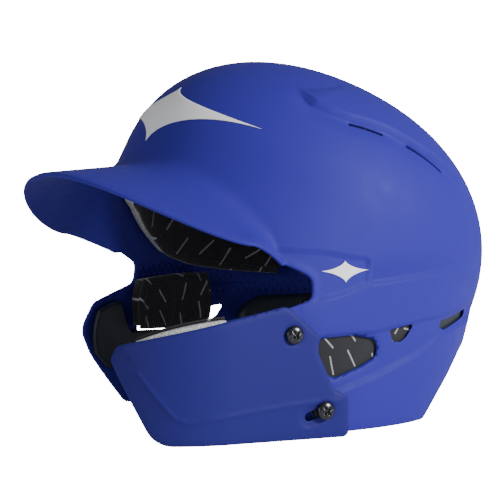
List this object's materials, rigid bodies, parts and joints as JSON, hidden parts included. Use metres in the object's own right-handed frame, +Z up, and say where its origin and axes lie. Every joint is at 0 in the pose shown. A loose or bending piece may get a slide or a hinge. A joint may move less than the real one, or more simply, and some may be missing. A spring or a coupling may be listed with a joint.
{
  "type": "batting helmet",
  "caption": "Double-flap batting helmet with a visor, vents, a padded liner and a jaw guard on the left flap that tilts about its upper screw.",
  "frame": {"origin": "on the resting plane, below the middle of the helmet's box", "axes": "helmet faces -Y, wearer's left is +X, +Z up"},
  "size_m": [0.2181, 0.3168, 0.2276],
  "materials": {
    "shell_blue": "satin royal blue moulded plastic",
    "guard_blue": "satin royal blue moulded plastic",
    "screw_steel": "black oxide",
    "nut_steel": "black oxide",
    "spacer_rubber": "matte",
    "pad_foam": "speckled closed-cell foam",
    "pad_fabric": "black knit with small grey marks",
    "liner_black": "smooth moulded foam skin",
    "emblem_white": "white vinyl"
  },
  "bodies": {
    "helmet": {"shell": "shell_blue", "pivot_screw": "screw_steel", "slot_screw": "screw_steel", "pivot_t_nut": "nut_steel", "slot_t_nut": "nut_steel", "pivot_spacer": "spacer_rubber", "slot_spacer": "spacer_rubber", "brow_pad_foam": "pad_foam", "brow_pad_cover": "pad_fabric", "left_side_pad_foam": "pad_foam", "left_side_pad_cover": "pad_fabric", "right_side_pad_foam": "pad_foam", "right_side_pad_cover": "pad_fabric", "rear_pad_foam": "pad_foam", "rear_pad_cover": "pad_fabric", "crown_front_pad_foam": "pad_foam", "crown_front_pad_cover": "pad_fabric", "crown_centre_pad_foam": "pad_foam", "crown_centre_pad_cover": "pad_fabric", "crown_rear_pad_foam": "pad_foam", "crown_rear_pad_cover": "pad_fabric", "left_ear_pad_foam": "pad_foam", "left_ear_pad_cover": "pad_fabric", "right_ear_pad_foam": "pad_foam", "right_ear_pad_cover": "pad_fabric", "nape_pad": "liner_black", "left_flap_liner": "liner_black", "right_flap_liner": "liner_black", "front_emblem": "emblem_white", "left_emblem": "emblem_white", "right_emblem": "emblem_white"},
    "jaw_guard_body": {"jaw_guard": "guard_blue", "jaw_pad_foam": "pad_foam", "jaw_pad_cover": "pad_fabric"}
  },
  "joints": [
    {"name": "jaw_guard_tilt", "type": "hinge", "parent": "helmet", "child": "jaw_guard_body", "pos_m": [0.09624, -0.05557, 0.0629], "axis": [0.9848, -0.1736, 0], "range_deg": [0, 12]}
  ]
}
